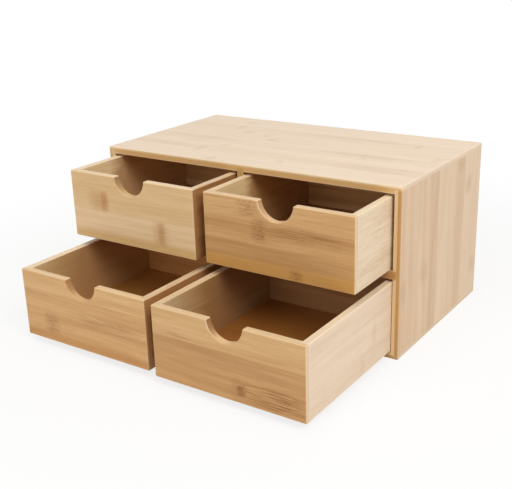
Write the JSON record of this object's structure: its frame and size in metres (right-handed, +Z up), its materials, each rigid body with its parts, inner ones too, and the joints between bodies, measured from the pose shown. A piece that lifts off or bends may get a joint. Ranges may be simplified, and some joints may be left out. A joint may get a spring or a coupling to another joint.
{
  "type": "drawer organizer",
  "caption": "Low desktop drawer chest of thin bamboo boards, with open-topped sliding drawers pulled by half-round finger notches.",
  "frame": {"origin": "centre of the case's underside, where it stands on the desk", "axes": "+X to the right seen from the front, +Y towards the back, +Z up; the drawers open along -Y"},
  "size_m": [0.33, 0.329, 0.16],
  "materials": {
    "case_board": "satin lacquered bamboo, pale, long strips",
    "case_side": "satin lacquered bamboo, upright strips of uneven tone",
    "drawer_front": "satin lacquered bamboo, level strips with growth-ring nodes",
    "drawer_side": "satin lacquered bamboo, fine straight fibres",
    "drawer_bottom": "plain sanded bamboo panel"
  },
  "bodies": {
    "case": {"top_board": "case_board", "bottom_board": "case_board", "left_side_board": "case_side", "right_side_board": "case_side", "back_board": "case_board", "middle_shelf": "case_board", "centre_divider": "case_board"},
    "upper_left_drawer": {"upper_left_drawer_front": "drawer_front", "upper_left_drawer_left_side": "drawer_side", "upper_left_drawer_right_side": "drawer_side", "upper_left_drawer_back": "drawer_side", "upper_left_drawer_bottom": "drawer_bottom"},
    "upper_right_drawer": {"upper_right_drawer_front": "drawer_front", "upper_right_drawer_left_side": "drawer_side", "upper_right_drawer_right_side": "drawer_side", "upper_right_drawer_back": "drawer_side", "upper_right_drawer_bottom": "drawer_bottom"},
    "lower_left_drawer": {"lower_left_drawer_front": "drawer_front", "lower_left_drawer_left_side": "drawer_side", "lower_left_drawer_right_side": "drawer_side", "lower_left_drawer_back": "drawer_side", "lower_left_drawer_bottom": "drawer_bottom"},
    "lower_right_drawer": {"lower_right_drawer_front": "drawer_front", "lower_right_drawer_left_side": "drawer_side", "lower_right_drawer_right_side": "drawer_side", "lower_right_drawer_back": "drawer_side", "lower_right_drawer_bottom": "drawer_bottom"}
  },
  "joints": [
    {"name": "upper_left_drawer_slide", "type": "slide", "parent": "case", "child": "upper_left_drawer", "axis": [0, -1, 0], "range_m": [-0.065, 0.092]},
    {"name": "upper_right_drawer_slide", "type": "slide", "parent": "case", "child": "upper_right_drawer", "axis": [0, -1, 0], "range_m": [-0.064, 0.093]},
    {"name": "lower_left_drawer_slide", "type": "slide", "parent": "case", "child": "lower_left_drawer", "axis": [0, -1, 0], "range_m": [-0.141, 0.016]},
    {"name": "lower_right_drawer_slide", "type": "slide", "parent": "case", "child": "lower_right_drawer", "axis": [0, -1, 0], "range_m": [-0.145, 0.012]}
  ]
}
